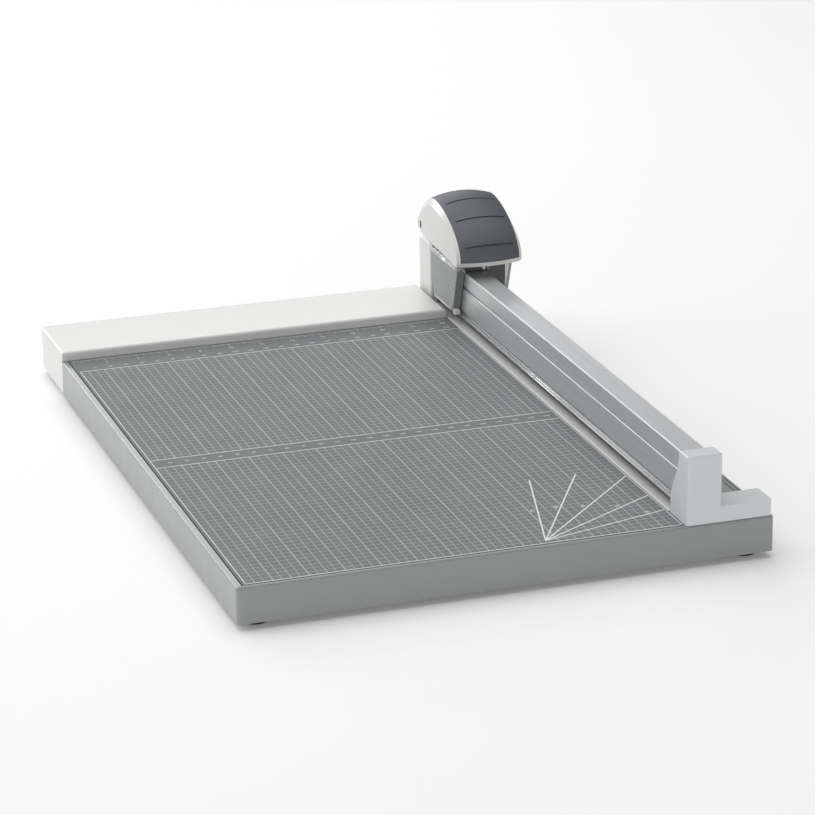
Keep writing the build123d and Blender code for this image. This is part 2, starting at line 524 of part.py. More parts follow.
# inner frame: two sleeves slide on the carriage's posts, a wing carries the blade arm
WING_LEFT, WING_RIGHT = 102.5, LEG_LEFT - GAP
ARM_LEFT, ARM_RIGHT = 101.4, WING_LEFT
FRAME_TOP = POST_TOP - 0.2
ARM_SCREW_YS, ARM_SCREW_Z, ARM_SCREW_R = (167.0, 179.0), 73.0, 1.0
with BuildPart() as head_frame:
    block(WING_LEFT, 130.0, 149.0, 202.5, FRAME_BOTTOM, FRAME_TOP)
    block(WING_LEFT, WING_RIGHT, 163.0, 183.0, 69.0, FRAME_BOTTOM)
    for y in POST_YS:
        rod(RAIL_X, y, FRAME_BOTTOM, FRAME_TOP, 2.55, mode=Mode.SUBTRACT)
    # side lugs that seat on the shells' inner walls
    for y in (160.0, 190.0):
        block(98.0, WING_LEFT, y - 4, y + 4, FRAME_BOTTOM, FRAME_TOP)
        block(130.0, 136.6, y - 4, y + 4, FRAME_BOTTOM, FRAME_TOP)
    for y in ARM_SCREW_YS:
        cross_rod(WING_LEFT, WING_RIGHT, y, ARM_SCREW_Z, ARM_SCREW_R, mode=Mode.SUBTRACT)
save(head_frame.part, "head_frame")

with BuildPart() as presser_foot:
    block(124.6, 126.6, 168.0, 182.0, FOOT_TOP + 2.3, FRAME_BOTTOM)
    block(RAIL_RIGHT + 0.9, 126.6, 168.0, 182.0, FOOT_TOP + GAP, FOOT_TOP + 2.3)
save(presser_foot.part, "presser_foot")

with BuildPart() as blade_arm:
    with BuildSketch(Plane.YZ.offset(ARM_LEFT)):
        with BuildLine():
            Polyline((BLADE_Y - 5, BLADE_Z), (163.5, 66.0), (163.5, 76.0), (182.5, 76.0),
                     (182.5, 66.0), (BLADE_Y + 5, BLADE_Z))
            ThreePointArc((BLADE_Y + 5, BLADE_Z), (BLADE_Y, BLADE_Z - 5), (BLADE_Y - 5, BLADE_Z))
        make_face()
    extrude(amount=ARM_RIGHT - ARM_LEFT - 0.1)
    cross_rod(ARM_LEFT, ARM_RIGHT, BLADE_Y, BLADE_Z, 2.0, mode=Mode.SUBTRACT)
    for y in ARM_SCREW_YS:
        cross_rod(ARM_LEFT, ARM_RIGHT, y, ARM_SCREW_Z, ARM_SCREW_R + 0.1, mode=Mode.SUBTRACT)
save(blade_arm.part, "blade_arm")

with BuildPart() as arm_screws:
    for y in ARM_SCREW_YS:
        cross_rod(ARM_LEFT, WING_RIGHT, y, ARM_SCREW_Z, ARM_SCREW_R)
        cross_rod(ARM_LEFT - 0.9, ARM_LEFT, y, ARM_SCREW_Z, 2.0)
save(arm_screws.part, "arm_screws")

with BuildPart() as blade_axle:
    cross_rod(ARM_LEFT, 103.9, BLADE_Y, BLADE_Z, 2.0)
    cross_rod(103.9, 104.9, BLADE_Y, BLADE_Z, 3.0)
save(blade_axle.part, "blade_axle")

BORE_R = 3.5
with BuildPart() as blade_disc:
    with BuildSketch(Plane((BLADE_X, BLADE_Y, BLADE_Z), x_dir=(0, 0, 1), z_dir=(0, 1, 0))):
        Polygon((BORE_R, -0.2), (BLADE_R - 1.2, -0.2), (BLADE_R, 0.0), (BLADE_R - 1.2, 0.2), (BORE_R, 0.2),
                align=None)
    revolve(axis=Axis((BLADE_X, BLADE_Y, BLADE_Z), (1, 0, 0)))
save(blade_disc.part, "blade_disc")

with BuildPart() as blade_hub:
    cross_rod(BLADE_X - 0.2, BLADE_X + 0.2, BLADE_Y, BLADE_Z, BORE_R - FIT)
    cross_rod(BLADE_X + 0.2, BLADE_X + 0.8, BLADE_Y, BLADE_Z, 6.0)
    cross_rod(BLADE_X - 0.2, BLADE_X + 0.8, BLADE_Y, BLADE_Z, 2.05, mode=Mode.SUBTRACT)
save(blade_hub.part, "blade_hub")


GUARD_WALL, GUARD_TOP, GUARD_SHOULDER = 1.2, 67.0, 64.0


def guard_outline(bottom, shrink=0.0):
    """Side view of a finger guard: upright at the top, tapering to a rounded foot."""
    front, back = 146.0 + shrink, 200.0 - shrink
    toe, heel = 156.5 + shrink, 193.5 - shrink
    Polygon((toe, bottom), (front, GUARD_SHOULDER), (front, GUARD_TOP), (back, GUARD_TOP),
            (back, GUARD_SHOULDER), (heel, bottom), align=None)


def guard(x0, x1, bottom, wall_side):
    """A clear finger guard: one flat wall with a rim, open on the rail's side."""
    with BuildSketch(Plane.YZ.offset(x0)) as outline:
        guard_outline(bottom)
        fillet(outline.vertices().group_by(Axis.Y)[0], 4.0)
    extrude(outline.sketch, amount=x1 - x0)
    inner0, inner1 = (x0 + GUARD_WALL, x1) if wall_side < 0 else (x0, x1 - GUARD_WALL)
    with BuildSketch(Plane.YZ.offset(inner0)) as hollow:
        guard_outline(bottom + 1.4, 1.6)
        fillet(hollow.vertices().group_by(Axis.Y)[0], 3.0)
    extrude(hollow.sketch, amount=inner1 - inner0, mode=Mode.SUBTRACT)


GUARD_BOTTOM = 32.2
GUARD_LEFT, GUARD_RIGHT = 100.0, RAIL_LEFT - 0.4
with BuildPart() as blade_guard:
    guard(GUARD_LEFT, GUARD_RIGHT, GUARD_BOTTOM, -1)
    outer_face = blade_guard.faces().sort_by(Axis.X)[0]
    fillet(outer_face.edges().sort_by(Axis.Z)[:-1], 0.6)
    block(BLADE_X - 1.0, GUARD_RIGHT, BLADE_Y - BLADE_R, BLADE_Y + BLADE_R, GUARD_BOTTOM - 1,
          GUARD_BOTTOM + 3, mode=Mode.SUBTRACT)
save(blade_guard.part, "blade_guard")

with BuildPart() as offcut_guard:
    guard(SKIRT_RIGHT + 0.2, 136.5, 36.5, 1)
save(offcut_guard.part, "offcut_guard")

with BuildPart() as guard_toe:
    block(GUARD_LEFT + 0.2, GUARD_LEFT + 3.4, 151.8, 156.5, GUARD_BOTTOM - 1.2, GUARD_BOTTOM + 2.2)
    fillet(guard_toe.edges().filter_by(Axis.X), 1.0)
    add(blade_guard.part, mode=Mode.SUBTRACT)
save(guard_toe.part, "guard_toe")
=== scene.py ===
"""Looks of the rotary paper trimmer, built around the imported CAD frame. Metres throughout."""
import json
import math

import bmesh
import bpy
from mathutils import Matrix, Vector


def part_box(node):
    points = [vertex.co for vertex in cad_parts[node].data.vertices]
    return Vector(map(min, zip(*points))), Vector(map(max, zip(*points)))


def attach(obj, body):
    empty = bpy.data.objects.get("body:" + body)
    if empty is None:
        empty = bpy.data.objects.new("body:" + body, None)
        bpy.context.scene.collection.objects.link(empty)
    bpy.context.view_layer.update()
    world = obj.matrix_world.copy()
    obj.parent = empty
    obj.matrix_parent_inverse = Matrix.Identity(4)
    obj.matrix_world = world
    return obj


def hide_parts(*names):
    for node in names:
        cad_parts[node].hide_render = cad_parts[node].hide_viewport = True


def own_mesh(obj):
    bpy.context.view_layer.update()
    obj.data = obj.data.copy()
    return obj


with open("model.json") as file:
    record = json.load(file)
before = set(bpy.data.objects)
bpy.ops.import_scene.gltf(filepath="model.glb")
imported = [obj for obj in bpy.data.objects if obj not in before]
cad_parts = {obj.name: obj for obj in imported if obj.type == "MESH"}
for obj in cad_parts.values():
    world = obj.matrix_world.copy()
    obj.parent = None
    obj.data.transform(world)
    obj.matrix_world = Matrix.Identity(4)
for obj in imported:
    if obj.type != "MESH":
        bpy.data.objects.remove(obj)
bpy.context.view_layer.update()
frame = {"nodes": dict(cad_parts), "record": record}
NODES = frame["nodes"]
MM = 0.001
ALONG_X, ALONG_Y, ALONG_Z = 0, 1, 2
bpy.context.scene.view_settings.view_transform = "Standard"

# ---- camera: stands to the front left and looks down on the bed ----------------------------------
camera_data = bpy.data.cameras.new("camera")
camera_data.sensor_width = 36.0
camera_data.lens = 155.016
camera_data.clip_start = 0.05
camera = bpy.data.objects.new("camera", camera_data)
camera.location = (-0.59794, -1.85958, 0.71594)
camera.rotation_euler = [math.radians(a) for a in (70.669, 0.7045, -18.548)]
bpy.context.scene.collection.objects.link(camera)
bpy.context.scene.camera = camera


# ---- material helpers ----------------------------------------------------------------------------
class Shader:
    """Builds one Principled material node by node."""

    def __init__(self, name, color, roughness=0.5, metallic=0.0, **sockets):
        self.material = bpy.data.materials.new(name)
        self.material.use_nodes = True
        self.nodes = self.material.node_tree.nodes
        self.links = self.material.node_tree.links
        self.bsdf = self.nodes["Principled BSDF"]
        self.normal = None
        self.set("Base Color", (*color, 1.0))
        self.set("Roughness", roughness)
        self.set("Metallic", metallic)
        for socket, value in sockets.items():
            self.set(socket.replace("_", " "), value)
        self.object_space = self.nodes.new("ShaderNodeTexCoord").outputs["Object"]

    def set(self, socket, value):
        """Set one socket of the shader itself."""
        self.bsdf.inputs[socket].default_value = value

    def noise(self, scale, detail=3.0, stretch=None):
        """Noise in object space; scale is in features per metre, stretch multiplies each axis."""
        node = self.nodes.new("ShaderNodeTexNoise")
        node.inputs["Scale"].default_value = scale
        node.inputs["Detail"].default_value = detail
        source = self.object_space
        if stretch:
            mapping = self.nodes.new("ShaderNodeMapping")
            mapping.inputs["Scale"].default_value = stretch
            self.links.new(source, mapping.inputs["Vector"])
            source = mapping.outputs["Vector"]
        self.links.new(source, node.inputs["Vector"])
        return node.outputs["Fac"]

    def tint(self, source, first, second, start=0.35, end=0.65):
        """Blend the base colour between two colours as source goes from start to end."""
        node = self.nodes.new("ShaderNodeValToRGB")
        self.links.new(source, node.inputs["Fac"])
        for element, place, color in zip(node.color_ramp.elements, (start, end), (first, second)):
            element.position = place
            element.color = (*color, 1.0)
        self.links.new(node.outputs["Color"], self.bsdf.inputs["Base Color"])

    def vary_roughness(self, source, low, high):
        """Let the roughness follow source between two values."""
        node = self.nodes.new("ShaderNodeMapRange")
        self.links.new(source, node.inputs["Value"])
        limits = {"From Min": 0.35, "From Max": 0.65, "To Min": low, "To Max": high}
        for socket, value in limits.items():
            node.inputs[socket].default_value = value
        self.links.new(node.outputs["Result"], self.bsdf.inputs["Roughness"])

    def bump(self, source, distance, strength):
        """Add one more layer of bump; distance is in metres."""
        node = self.nodes.new("ShaderNodeBump")
        node.inputs["Distance"].default_value = distance
        node.inputs["Strength"].default_value = strength
        self.links.new(source, node.inputs["Height"])
        if self.normal:
            self.links.new(self.normal, node.inputs["Normal"])
        self.normal = node.outputs["Normal"]
        self.links.new(self.normal, self.bsdf.inputs["Normal"])


def shade(color, factor):
    """The colour made lighter or darker by a factor."""
    return tuple(c * factor for c in color)


def plastic(name, color, roughness=0.4, grain=2500.0, depth=0.008 * MM, cloud=0.02, **sockets):
    """Moulded plastic: spark-eroded grain, faint clouding and slightly smoother patches."""
    m = Shader(name, color, roughness, **sockets)
    m.tint(m.noise(18.0, 4.0), shade(color, 1 - cloud), shade(color, 1 + cloud))
    m.vary_roughness(m.noise(60.0, 5.0), roughness * 0.92, min(1.0, roughness * 1.08))
    m.bump(m.noise(grain, 2.0), depth, 0.5)
    return m.material


def paint(name, color):
    """Stove enamel on sheet steel: faint orange peel and dust specks."""
    m = Shader(name, color, 0.34, Coat_Weight=0.4, Coat_Roughness=0.1)
    m.tint(m.noise(14.0, 4.0), shade(color, 0.985), shade(color, 1.015))
    m.vary_roughness(m.noise(90.0, 4.0), 0.33, 0.38)
    m.bump(m.noise(700.0, 2.0), 0.012 * MM, 0.3)
    m.bump(m.noise(5200.0, 2.0), 0.004 * MM, 0.4)
    return m.material


def brushed(name, color, roughness, axis, metallic=1.0):
    """Drawn or ground metal with fine streaks along one axis."""
    m = Shader(name, color, roughness, metallic)
    stretch = [1.0, 1.0, 1.0]
    stretch[axis] = 0.012
    fine = m.noise(9000.0, 3.0, stretch)
    m.tint(m.noise(900.0, 3.0, stretch), shade(color, 0.94), shade(color, 1.04))
    m.vary_roughness(fine, roughness * 0.85, roughness * 1.2)
    m.bump(fine, 0.008 * MM, 0.4)
    return m.material


def rubber(name, color):
    """Matt rubber with a coarse, slightly dusty surface."""
    m = Shader(name, color, 0.75)
    m.tint(m.noise(120.0, 4.0), shade(color, 0.8), shade(color, 1.3))
    m.vary_roughness(m.noise(300.0, 4.0), 0.65, 0.9)
    m.bump(m.noise(2600.0, 3.0), 0.04 * MM, 0.7)
    return m.material


def clear_plastic(name, color, roughness, transmission, ior=1.5):
    """Clear or smoked polycarbonate with faint haze."""
    m = Shader(name, color, roughness, IOR=ior, Transmission_Weight=transmission)
    m.tint(m.noise(40.0, 3.0), shade(color, 0.985), shade(color, 1.01))
    m.vary_roughness(m.noise(120.0, 3.0), roughness * 0.85, roughness * 1.15)
    m.bump(m.noise(300.0, 2.0), 0.008 * MM, 0.2)
    return m.material


MATERIALS = {
    "tray_paint": paint("tray_paint", (0.3, 0.309, 0.311)),
    "plate_plastic": plastic("plate_plastic", (0.10, 0.10, 0.105), 0.55),
    "screw_steel": brushed("screw_steel", (0.62, 0.61, 0.58), 0.3, ALONG_X),
    "foot_rubber": rubber("foot_rubber", (0.012, 0.012, 0.012)),
    "pad_rubber": rubber("pad_rubber", (0.03, 0.03, 0.03)),
    "mat_print": plastic("mat_print", (0.19, 0.2, 0.203), 0.65, grain=1800.0, depth=0.012 * MM),
    "strip_plastic": plastic("strip_plastic", (0.72, 0.725, 0.72), 0.5),
    "white_plastic": plastic("white_plastic", (0.75, 0.75, 0.735), 0.32, cloud=0.006, Coat_Weight=0.25,
                             Coat_Roughness=0.12),
    "block_plastic": plastic("block_plastic", (0.7, 0.725, 0.735), 0.38, cloud=0.01),
    "rail_aluminium": brushed("rail_aluminium", (0.62, 0.63, 0.64), 0.42, ALONG_Y, metallic=0.6),
    "clamp_aluminium": brushed("clamp_aluminium", (0.6, 0.61, 0.62), 0.42, ALONG_Y, metallic=0.7),
    "support_plastic": plastic("support_plastic", (0.085, 0.088, 0.092), 0.5),
    "dark_plastic": plastic("dark_plastic", (0.095, 0.098, 0.1), 0.45),
    "cover_plastic": plastic("cover_plastic", (0.102, 0.109, 0.121), 0.42, grain=2600.0,
                             depth=0.012 * MM, cloud=0.03),
    "roller_acetal": plastic("roller_acetal", (0.75, 0.75, 0.72), 0.3),
    "spring_steel": brushed("spring_steel", (0.5, 0.5, 0.49), 0.3, ALONG_Z),
    "blade_steel": brushed("blade_steel", (0.72, 0.72, 0.72), 0.16, ALONG_Z),
    "arm_steel": brushed("arm_steel", (0.62, 0.62, 0.62), 0.28, ALONG_Z),
    "guard_clear": clear_plastic("guard_clear", (0.34, 0.36, 0.365), 0.32, transmission=0.22),
    "offcut_clear": clear_plastic("offcut_clear", (0.93, 0.94, 0.945), 0.03, transmission=0.75,
                                  ior=1.1),
}
SLOT_OF = {row["node"]: row["material_slot"] for row in frame["record"]["subparts"]}
for node_name, node in NODES.items():
    node.data.materials.clear()
    node.data.materials.append(MATERIALS[SLOT_OF[node_name]])


# ---- mesh helpers --------------------------------------------------------------------------------
def add_bar(bm, start, end, width, low, high):
    """A flat printed bar from start to end (x, y), as a closed box between two heights."""
    along = (Vector(end) - Vector(start)).normalized()
    side = Vector((-along.y, along.x)) * width / 2
    corners = [Vector(p) + s for p, s in ((start, -side), (end, -side), (end, side), (start, side))]
    rings = [[bm.verts.new((c.x, c.y, z)) for c in corners] for z in (low, high)]
    bm.faces.new(rings[0][::-1])
    bm.faces.new(rings[1])
    for i in range(4):
        j = (i + 1) % 4
        bm.faces.new((rings[0][i], rings[0][j], rings[1][j], rings[1][i]))


def add_prism(bm, outline, depth):
    """A closed prism: the flat outline, a list of points, carried along the vector depth."""
    rings = [[bm.verts.new(point + shift) for point in outline] for shift in (Vector(), depth)]
    bm.faces.new(rings[0][::-1])
    bm.faces.new(rings[1])
    count = len(outline)
    for i in range(count):
        j = (i + 1) % count
        bm.faces.new((rings[0][i], rings[0][j], rings[1][j], rings[1][i]))


def stadium(x, y, z, length, height, steps=8):
    """Outline of an upright slot with round ends, facing X and lying along Y; y, z is its middle."""
    radius = height / 2
    reach = length / 2 - radius
    outline = []
    for side, start in ((1, -90), (-1, 90)):
        for k in range(steps + 1):
            a = math.radians(start + 180 * k / steps)
            along = side * reach + radius * math.cos(a)
            outline.append(Vector((x, y + along, z + radius * math.sin(a))))
    return outline


def add_tube(bm, points, radius, sides=10):
    """A closed round tube through the points."""
    rings = []
    across = None
    for i, point in enumerate(points):
        ahead = (points[min(i + 1, len(points) - 1)] - points[max(i - 1, 0)]).normalized()
        if across is None:
            across = ahead.orthogonal()
        across = (across - ahead * across.dot(ahead)).normalized()
        other = ahead.cross(across)
        angles = [2 * math.pi * k / sides for k in range(sides)]
        rings.append([bm.verts.new(point + (across * math.cos(a) + other * math.sin(a)) * radius)
                      for a in angles])
    for ring, after in zip(rings, rings[1:]):
        for k in range(sides):
            j = (k + 1) % sides
            bm.faces.new((ring[k], ring[j], after[j], after[k]))
    bm.faces.new(rings[0][::-1])
    bm.faces.new(rings[-1])


def add_lathe(bm, centre, axis, profile, steps=24):
    """A closed solid turned about axis; profile is a list of (radius, height) from axis to axis."""
    axis = Vector(axis)
    across = axis.orthogonal().normalized()
    other = axis.cross(across)
    rings = []
    for radius, height in profile:
        if radius == 0:
            rings.append([bm.verts.new(Vector(centre) + axis * height)])
            continue
        angles = [2 * math.pi * k / steps for k in range(steps)]
        rings.append([bm.verts.new(Vector(centre) + axis * height
                                   + (across * math.cos(a) + other * math.sin(a)) * radius)
                      for a in angles])
    for ring, after in zip(rings, rings[1:]):
        for k in range(steps):
            j = (k + 1) % steps
            if len(ring) == 1:
                bm.faces.new((ring[0], after[j], after[k]))
            elif len(after) == 1:
                bm.faces.new((ring[k], ring[j], after[0]))
            else:
                bm.faces.new((ring[k], ring[j], after[j], after[k]))


def finish_piece(name, bm, body, slot, material=None, smooth=False):
    """Turn a bmesh into a piece that rides on a body."""
    bmesh.ops.recalc_face_normals(bm, faces=bm.faces)
    mesh = bpy.data.meshes.new(name)
    bm.to_mesh(mesh)
    bm.free()
    mesh.polygons.foreach_set("use_smooth", [smooth] * len(mesh.polygons))
    mesh.materials.append(material or MATERIALS[slot])
    piece = bpy.data.objects.new(name, mesh)
    bpy.context.scene.collection.objects.link(piece)
    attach(piece, body)
    return piece


# ---- print on the mat, with a painted highlight by the strip and painted shade in the mat's gap - ---
INK = plastic("mat_ink", (0.44, 0.45, 0.45), 0.55, cloud=0.03)
BOLD_INK = plastic("mat_bold_ink", (0.80, 0.81, 0.81), 0.55, cloud=0.02)
# Painted highlight: near-white colour for the line along the cutting strip's edge, where the edge
# catches the light.
STRIP_HIGHLIGHT_PAINT = plastic("strip_highlight_paint", (0.93, 0.93, 0.92), 0.4)
# Painted shade: near-black colour for the fill in the gap round the mat, standing in for the gap's
# shadow.
GAP_SHADE_PAINT = rubber("gap_shade_paint", (0.004, 0.004, 0.004))
MAT_LOW, MAT_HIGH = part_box("cutting_mat")
BED_Z = MAT_HIGH[2]
SUNK = BED_Z - 0.01 * MM             # the bars start just inside the mat
PITCH = 5 * MM                       # of the grid
CENTIMETRE = 10 * MM
GRID_LEFT = MAT_LOW[0] + 2.0 * MM
GRID_RIGHT = MAT_HIGH[0] - 1.5 * MM
GRID_FRONT = MAT_LOW[1] + 1.0 * MM
GRID_BACK = MAT_HIGH[1] - 23.0 * MM
BAND_FRONT, BAND_BACK = MAT_LOW[1] + 185.9 * MM, MAT_LOW[1] + 198.9 * MM
LINE_WIDTHS = (0.38 * MM, 0.5 * MM, 0.38 * MM, 0.75 * MM)   # of the lines along Y, in turn
TICK_BACK = MAT_HIGH[1] - 1.2 * MM
FAN = (MAT_HIGH[0] - 78.2 * MM, MAT_LOW[1] + 4.4 * MM)   # point where the angle lines meet
FAN_LONG_UP_TO = 45                  # flatter lines run to the grid's right edge
FAN_SHORT = 90 * MM                  # depth of the steeper ones


def grid_steps(start, end):
    """Places of the grid lines from start to end."""
    count = int(round((end - start) / PITCH, 6))
    return [start + PITCH * i for i in range(count + 1)]


def print_grid():
    """5 mm squares in two fields, with a plain band between them; some lines are stronger."""
    fine, bold = bmesh.new(), bmesh.new()
    for field_front, field_back in ((GRID_FRONT, BAND_FRONT), (BAND_BACK, GRID_BACK)):
        for i, x in enumerate(grid_steps(GRID_LEFT, GRID_RIGHT)):
            width = LINE_WIDTHS[i % len(LINE_WIDTHS)]
            add_bar(fine, (x, field_front), (x, field_back), width, SUNK, BED_Z + 0.03 * MM)
        for y in grid_steps(field_front, field_back):
            add_bar(fine, (GRID_LEFT, y), (GRID_RIGHT, y), 0.36 * MM, SUNK, BED_Z + 0.02 * MM)
    for y in (GRID_FRONT, BAND_FRONT, BAND_BACK, GRID_BACK):
        add_bar(bold, (GRID_LEFT, y), (GRID_RIGHT, y), 0.7 * MM, SUNK, BED_Z + 0.04 * MM)
    for x in (GRID_LEFT, MAT_HIGH[0] - 0.6 * MM):
        add_bar(bold, (x, GRID_FRONT), (x, GRID_BACK), 0.5 * MM, SUNK, BED_Z + 0.05 * MM)
    finish_piece("mat_grid", fine, "base", "mat_print", INK)
    finish_piece("mat_borders", bold, "base", "mat_print", BOLD_INK)


def print_ruler():
    """Millimetre ticks at the stop, longer at each 5 and 10 mm."""
    bm = bmesh.new()
    count = int((GRID_RIGHT - GRID_LEFT) / MM)
    for i in range(count + 1):
        x = GRID_LEFT + i * MM
        length = (4.4 if i % 10 == 0 else 3.2 if i % 5 == 0 else 2.0) * MM
        add_bar(bm, (x, TICK_BACK - length), (x, TICK_BACK), 0.25 * MM, SUNK, BED_Z + 0.02 * MM)
    finish_piece("mat_ruler", bm, "base", "mat_print", BOLD_INK)


def print_fan():
    """Angle lines from one point on the front edge; the steep ones are short."""
    bm = bmesh.new()
    for layer, angle in enumerate((15, 30, 45, 60, 75)):
        way = Vector((math.cos(math.radians(angle)), math.sin(math.radians(angle))))
        if angle <= FAN_LONG_UP_TO:
            reach = (GRID_RIGHT + 1 * MM - FAN[0]) / way.x
        else:
            reach = FAN_SHORT / way.y
        end = Vector(FAN) + way * reach
        high = BED_Z + (0.05 + 0.004 * layer) * MM
        add_bar(bm, FAN, end, 0.9 * MM, SUNK, high)
    finish_piece("mat_fan", bm, "base", "mat_print", BOLD_INK)


def add_number(bm, value, place, size, turn=0.0):
    """A flat number of a scale, lying on the mat."""
    curve = bpy.data.curves.new("number", "FONT")
    curve.body = str(value)
    curve.size = size
    curve.extrude = 0.02 * MM
    curve.align_x = curve.align_y = "CENTER"
    curve.resolution_u = 3
    text = bpy.data.objects.new("number", curve)
    bpy.context.scene.collection.objects.link(text)
    depsgraph = bpy.context.evaluated_depsgraph_get()
    mesh = bpy.data.meshes.new_from_object(text.evaluated_get(depsgraph))
    mesh.transform(Matrix.Translation((*place, BED_Z + 0.04 * MM)) @ Matrix.Rotation(turn, 4, "Z"))
    bm.from_mesh(mesh)
    bpy.data.objects.remove(text)
    bpy.data.curves.remove(curve)
    bpy.data.meshes.remove(mesh)


def print_numbers():
    """Centimetres at the ruler, millimetres in the header and the band, angles on the fan."""
    bm = bmesh.new()
    for centimetres in range(2, 25, 2):
        x = GRID_LEFT + centimetres * CENTIMETRE
        add_number(bm, centimetres, (x, TICK_BACK - 8.0 * MM), 3.4 * MM)
    for row in (GRID_BACK + 4.5 * MM, (BAND_FRONT + BAND_BACK) / 2):
        for centimetres in range(1, 25):
            x = GRID_LEFT + centimetres * CENTIMETRE
            add_number(bm, centimetres * 10, (x, row), 2.6 * MM)
    for angle, radius in ((15, 70), (30, 65), (45, 56), (60, 51), (75, 45)):
        turn = math.radians(angle)
        across = Vector((-math.sin(turn), math.cos(turn))) * 2.6 * MM
        place = Vector(FAN) + Vector((math.cos(turn), math.sin(turn))) * radius * MM + across
        add_number(bm, angle, place, 3.6 * MM, turn)
    bmesh.ops.remove_doubles(bm, verts=bm.verts, dist=0.001 * MM)
    finish_piece("mat_numbers", bm, "base", "mat_print", BOLD_INK)


def print_strip_edge():
    """Painted highlight: a white line along the cutting strip's left edge, beside the mat, standing in
    for the light its edge catches.
    """
    low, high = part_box("cutting_strip")
    width, inset = 1.4 * MM, 0.3 * MM
    x = low[0] + 0.05 * MM + width / 2
    bm = bmesh.new()
    add_bar(bm, (x, low[1] + inset), (x, high[1] - inset), width, SUNK, BED_Z + 0.03 * MM)
    finish_piece("strip_painted_highlight", bm, "base", "strip_plastic", STRIP_HIGHLIGHT_PAINT)


def fill_mat_joint():
    """Painted shade: a near-black fill at the bottom of the gap round the mat's left and front edges,
    darkening the gap as its shadow would.
    """
    gap, low, high = 0.7 * MM, BED_Z - 1.15 * MM, BED_Z - 0.25 * MM
    left, right = MAT_LOW[0] - 0.02 * MM, MAT_HIGH[0]
    front, back = MAT_LOW[1] - 0.02 * MM, MAT_HIGH[1] - 0.2 * MM
    outline = ((left, front), (right, front), (right, front - gap), (left - gap, front - gap),
               (left - gap, back), (left, back))
    bm = bmesh.new()
    add_prism(bm, [Vector((x, y, low)) for x, y in outline], Vector((0, 0, high - low)))
    finish_piece("mat_gap_painted_shade", bm, "base", "pad_rubber", GAP_SHADE_PAINT)


print_grid()
print_ruler()
print_fan()
print_numbers()
print_strip_edge()
fill_mat_joint()


# ---- springs -------------------------------------------------------------------------------------
STEPS_PER_TURN = 24
FLAT = 0.75                          # share of the first and last turn that lies nearly flat
CREEP = 0.1                          # its rise, compared with that of an open turn


def coil_spring(node_name, body, wire, turns):
    """A wound wire spring with closed ends in place of its CAD solid."""
    low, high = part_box(node_name)
    centre = (Vector(low) + Vector(high)) / 2
    radius = (high[0] - low[0]) / 2 - wire / 2
    height = high[2] - low[2]
    open_turns = turns - 2 * FLAT
    points = []
    for i in range(int(turns * STEPS_PER_TURN) + 1):
        turn = i / STEPS_PER_TURN
        rise = min(max(turn - FLAT, 0.0) + CREEP * min(turn, FLAT), open_turns + CREEP * FLAT)
        rise += CREEP * max(turn - (turns - FLAT), 0.0)
        z = low[2] + wire / 2 + (height - wire) * rise / (open_turns + 2 * CREEP * FLAT)
        angle = 2 * math.pi * turn
        offset = Vector((math.cos(angle), math.sin(angle), 0)) * radius
        points.append(Vector((centre.x, centre.y, z)) + offset)
    bm = bmesh.new()
    add_tube(bm, points, wire / 2)
    piece = finish_piece(node_name + "_coil", bm, body, "spring_steel", smooth=True)
    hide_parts(node_name)
    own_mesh(piece)


for end in ("front", "rear"):
    coil_spring("press_spring_" + end, "carriage", wire=0.7 * MM, turns=5.5)
    coil_spring("clamp_spring_" + end, "base", wire=0.5 * MM, turns=10.5)


# ---- fittings of the guard, the carriage, the left shell and the clamp ----------------------------
GUARD_LOW, GUARD_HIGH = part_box("blade_guard")
GUARD_FACE = GUARD_LOW[0]
RAIL_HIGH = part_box("rail")[1]


def clip_guard():
    """A pressed steel strip that clips the guard to the head, with ribs, small rivets, and dark plates
    as painted shade in its slots.
    """
    front, back = GUARD_LOW[1] + 1.2 * MM, GUARD_HIGH[1] - 1.6 * MM
    low, high = GUARD_HIGH[2] - 5.7 * MM, GUARD_HIGH[2] - 0.3 * MM
    middle, length = (front + back) / 2, back - front
    plate = bmesh.new()
    face = GUARD_FACE - 0.25 * MM
    outline = stadium(face, middle, (low + high) / 2, length, high - low)
    add_prism(plate, outline, Vector((0.4 * MM, 0, 0)))
    finish_piece("guard_clip", plate, "head", "arm_steel")
    ribs = bmesh.new()
    for z, radius in ((low + 0.5 * MM, 0.42 * MM), (low + 1.9 * MM, 0.36 * MM)):
        ends = [Vector((face, y, z)) for y in (front + 1.5 * MM, back - 1.5 * MM)]
        add_tube(ribs, ends, radius, 12)
    finish_piece("guard_ribs", ribs, "head", "blade_steel", smooth=True)
    # Painted shade: dark plates stand in for the open slots, which would show as shade.
    slot_shades, rivets = bmesh.new(), bmesh.new()
    dome = [(0, 0.8 * MM), (0.6 * MM, 0.7 * MM), (0.95 * MM, 0.4 * MM), (1.05 * MM, 0.0), (0, 0.0)]
    slot_count = 6
    pitch = length / (slot_count + 1)
    z = high - 1.5 * MM
    for i in range(slot_count):
        y = front + pitch * (i + 1)
        slot = stadium(face - 0.12 * MM, y, z, 4.6 * MM, 1.3 * MM)
        add_prism(slot_shades, slot, Vector((0.2 * MM, 0, 0)))
        add_lathe(rivets, (face + 0.05 * MM, y + pitch / 2, z), (-1, 0, 0), dome)
    finish_piece("guard_slot_shades", slot_shades, "head", "dark_plastic")
    finish_piece("guard_rivets", rivets, "head", "screw_steel")


